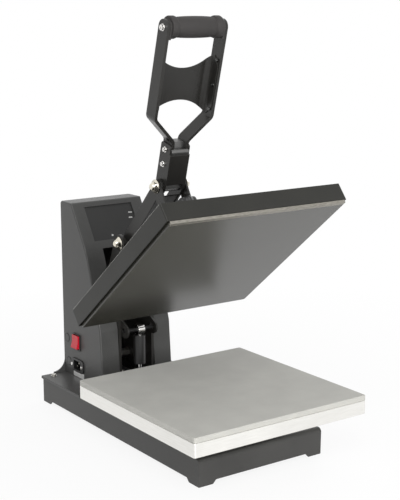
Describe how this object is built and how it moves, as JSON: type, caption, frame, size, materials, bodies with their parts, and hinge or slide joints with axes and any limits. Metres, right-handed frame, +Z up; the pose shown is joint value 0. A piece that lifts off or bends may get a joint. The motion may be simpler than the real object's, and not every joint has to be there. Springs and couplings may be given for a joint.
{
  "type": "clamshell heat press",
  "caption": "Clamshell heat press, standing open: square upper platen on a toggle arm with an upright handle over a flat padded lower platen, and a console housing behind.",
  "frame": {"origin": "on the floor, under the middle of the press's bounding box at rest", "axes": "+X to the operator's right, +Y from the operator to the column, +Z up"},
  "size_m": [0.3884, 0.632, 0.7948],
  "materials": {
    "base_paint": "satin",
    "housing_paint": "satin",
    "mechanism_paint": "satin",
    "bright_steel": "satin",
    "chrome": "polished",
    "cast_aluminium": "satin",
    "heat_plate_coat": "gloss",
    "silicone": "matte",
    "grip_rubber": "matte",
    "mat_wool": "matte",
    "console_plastic": "gloss",
    "black_plastic": "satin",
    "red_plastic": "gloss",
    "board": "satin",
    "pin_brass": "polished"
  },
  "bodies": {
    "frame": {"base_tray": "base_paint", "column_floor_plate": "housing_paint", "pedestal": "base_paint", "lower_plate": "cast_aluminium", "silicone_pad": "silicone", "column_side_plates": "mechanism_paint", "column_spacers": "bright_steel", "hinge_shaft": "bright_steel", "lever_pivot_bolt": "bright_steel", "lever_pivot_nuts": "chrome", "column_housing": "housing_paint", "rear_panel": "housing_paint", "console_panel": "console_plastic", "control_board": "board", "solid_state_relay": "black_plastic", "power_inlet": "black_plastic", "inlet_pins": "pin_brass", "switch_bezel": "black_plastic", "spring_bracket": "bright_steel"},
    "platen_arm": {"arm_side_plates": "mechanism_paint", "arm_web": "mechanism_paint"},
    "heat_platen": {"platen_cover": "housing_paint", "heat_plate": "heat_plate_coat", "heating_element": "bright_steel", "insulation_mat": "mat_wool", "platen_posts": "bright_steel", "platen_mount_plate": "mechanism_paint", "guide_bars": "bright_steel"},
    "pressure_knob": {"pressure_screw": "bright_steel", "pressure_knob": "black_plastic"},
    "handle_lever": {"handle_bars": "mechanism_paint", "handle_bracket": "mechanism_paint", "handle_spacer": "bright_steel", "bracket_bolts": "bright_steel", "grip_core": "bright_steel", "grip_sleeve": "grip_rubber", "grip_end_caps": "grip_rubber", "grip_bolts": "bright_steel", "hand_shield": "mechanism_paint", "lever_bars": "mechanism_paint", "knee_bolt": "bright_steel", "knee_nuts": "chrome", "knee_spacer": "bright_steel"},
    "toggle_links": {"toggle_links": "mechanism_paint"},
    "spring_rod": {"spring_rod": "chrome"},
    "spring_tube": {"spring_tube": "black_plastic", "spring_eye": "chrome"},
    "power_switch": {"switch_rocker": "red_plastic"}
  },
  "joints": [
    {"name": "arm_hinge", "type": "hinge", "parent": "frame", "child": "platen_arm", "pos_m": [0, 0.2052, 0.1948], "axis": [1, 0, 0], "range_deg": [0, 38.7], "stiffness_Nm_per_rad": 20, "springref_deg": -171.89},
    {"name": "platen_lift", "type": "slide", "parent": "platen_arm", "child": "heat_platen", "axis": [0, 0.6252, 0.7804], "range_m": [0, 0.004]},
    {"name": "knob_turn", "type": "hinge", "parent": "heat_platen", "child": "pressure_knob", "pos_m": [0, -0.04909, 0.40711], "axis": [0, 0.6252, 0.7804], "range_deg": [0, 721]},
    {"name": "handle_hinge", "type": "hinge", "parent": "frame", "child": "handle_lever", "pos_m": [0, 0.156, 0.351], "axis": [1, 0, 0], "range_deg": [0, 70.48]},
    {"name": "knee_hinge", "type": "hinge", "parent": "handle_lever", "child": "toggle_links", "pos_m": [0, 0.03598, 0.4785], "axis": [1, 0, 0], "range_deg": [-82.36, 0]},
    {"name": "spring_tilt", "type": "hinge", "parent": "frame", "child": "spring_rod", "pos_m": [0, 0.151, 0.0655], "axis": [1, 0, 0], "range_deg": [-19.87, 0]},
    {"name": "spring_slide", "type": "slide", "parent": "spring_rod", "child": "spring_tube", "axis": [0, 0, -1], "range_m": [0, 0.02376]},
    {"name": "switch_rock", "type": "hinge", "parent": "frame", "child": "power_switch", "pos_m": [-0.079, 0.26, 0.131], "axis": [0, 1, 0], "range_deg": [-14, 0]}
  ],
  "couplings": [
    {"joint": "handle_hinge", "follows": "arm_hinge", "ratio": 1.8199},
    {"joint": "knee_hinge", "follows": "arm_hinge", "ratio": -2.127},
    {"joint": "spring_tilt", "follows": "arm_hinge", "ratio": -0.51204},
    {"joint": "spring_slide", "follows": "arm_hinge", "m_per_rad": 0.035023},
    {"joint": "knob_turn", "follows": "platen_lift", "rad_per_m": 3141.6}
  ]
}
